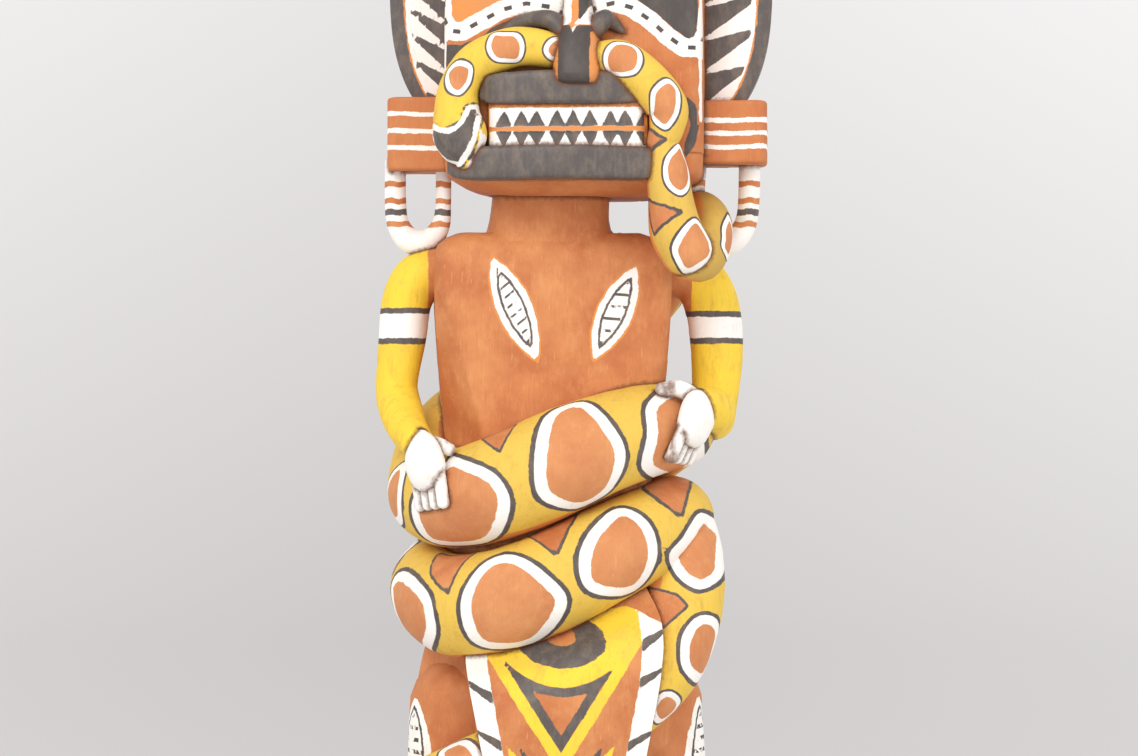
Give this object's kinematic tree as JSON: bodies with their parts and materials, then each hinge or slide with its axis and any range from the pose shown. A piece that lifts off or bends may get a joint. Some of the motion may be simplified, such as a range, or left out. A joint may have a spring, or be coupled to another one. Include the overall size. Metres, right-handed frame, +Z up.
{
  "type": "malangan carving",
  "caption": "Standing painted wood spirit figure on a low round base, with a snake that leaves its nose, crosses its shoulder and winds round its waist and thigh.",
  "frame": {"origin": "middle of the round base, on its underside, where it stands on the floor", "axes": "+Z up through the figure, -Y the front that the figure faces, +X to the right as it is looked at from the front"},
  "size_m": [0.3165, 0.301, 1.115],
  "materials": {
    "painted_wood": "matt red ochre, yellow, white and black paint on hand-carved wood"
  },
  "bodies": {
    "root": {"malangan_carving": "painted_wood"}
  },
  "joints": []
}
